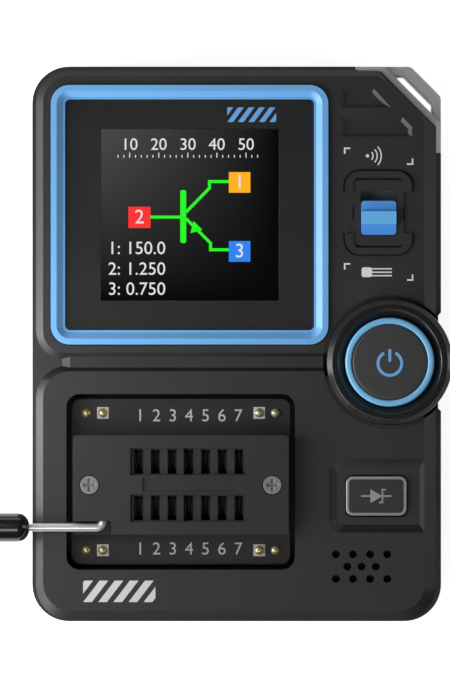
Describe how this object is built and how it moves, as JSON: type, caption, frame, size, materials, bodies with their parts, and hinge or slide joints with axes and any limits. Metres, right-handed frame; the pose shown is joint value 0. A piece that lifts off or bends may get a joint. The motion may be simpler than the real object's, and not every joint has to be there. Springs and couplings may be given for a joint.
{
  "type": "component tester",
  "caption": "Hand-held component tester with a colour display, lever-operated test socket, round test button, slide switch and lanyard corner.",
  "frame": {"origin": "middle of the case's flat back, on the surface it lies on", "axes": "+Z out of the display face, +Y towards the display end, +X to the right seen from the front"},
  "size_m": [0.0763, 0.0844, 0.0251],
  "materials": {
    "case_plastic": "fine matt moulded",
    "silver_finish": "satin silver",
    "blue_plastic": "semi-gloss",
    "panel_plastic": "matt",
    "lens_glass": "clear over a black border",
    "module_metal": "plain sheet metal",
    "holder_plastic": "natural",
    "board_laminate": "solder mask",
    "chip_plastic": "moulded",
    "battery_wrap": "foil wrap",
    "lead_sleeve": "smooth",
    "screw_dark": "black zinc",
    "ir_plastic": "tinted moulded",
    "socket_board_black": "black solder mask",
    "pin_gold": "gold plated",
    "socket_plastic": "glass-filled moulded",
    "screw_bright": "bright zinc",
    "rod_steel": "polished",
    "grip_plastic": "glossy",
    "button_plastic": "satin moulded",
    "ring_blue": "satin",
    "knob_blue": "satin",
    "collar_plastic": "satin moulded",
    "contact_metal": "tarnished tin plate"
  },
  "bodies": {
    "case": {"front_cover": "case_plastic", "rear_cover": "case_plastic", "lanyard_corner": "silver_finish", "display_frame": "blue_plastic", "display_panel": "panel_plastic", "display_lens": "lens_glass", "display_module": "module_metal", "display_holder": "holder_plastic", "main_board": "board_laminate", "processor_chip": "chip_plastic", "charger_chip": "chip_plastic", "clock_crystal": "module_metal", "charging_port": "module_metal", "battery": "battery_wrap", "battery_leads": "lead_sleeve", "battery_plug": "holder_plastic", "case_screws": "screw_dark", "test_collar": "collar_plastic", "test_switch_body": "chip_plastic", "zener_switch_body": "chip_plastic", "mode_switch_body": "chip_plastic", "ir_receiver": "ir_plastic", "socket_board": "socket_board_black", "header_sockets": "chip_plastic", "header_pins": "pin_gold", "socket_standoffs": "pin_gold", "socket_base": "socket_plastic", "socket_contacts": "contact_metal", "socket_cover": "socket_plastic", "socket_screws": "screw_bright"},
    "lever": {"lever_rod": "rod_steel", "lever_grip": "grip_plastic"},
    "slider": {"socket_slider": "socket_plastic"},
    "test_key": {"test_button": "button_plastic", "test_ring": "ring_blue", "test_switch_plunger": "chip_plastic"},
    "zener_key": {"zener_button": "button_plastic", "zener_rim": "silver_finish", "zener_switch_plunger": "chip_plastic"},
    "mode_knob": {"mode_switch_knob": "knob_blue", "mode_switch_shield": "case_plastic"}
  },
  "joints": [
    {"name": "lever_hinge", "type": "hinge", "parent": "case", "child": "lever", "pos_m": [-0.02031, -0.0279, 0.02285], "axis": [0, 1, 0], "range_deg": [0, 90]},
    {"name": "slider_slide", "type": "slide", "parent": "case", "child": "slider", "axis": [-1, 0, 0], "range_m": [0, 0.0008]},
    {"name": "test_press", "type": "slide", "parent": "case", "child": "test_key", "axis": [0, 0, -1], "range_m": [0, 0.0005], "stiffness_N_per_m": 600, "springref_m": -0.001},
    {"name": "zener_press", "type": "slide", "parent": "case", "child": "zener_key", "axis": [0, 0, -1], "range_m": [0, 0.0005], "stiffness_N_per_m": 600, "springref_m": -0.001},
    {"name": "mode_slide", "type": "slide", "parent": "case", "child": "mode_knob", "axis": [0, 1, 0], "range_m": [0, 0.0015]}
  ],
  "couplings": [
    {"joint": "slider_slide", "follows": "lever_hinge", "m_per_rad": 0.000509}
  ]
}
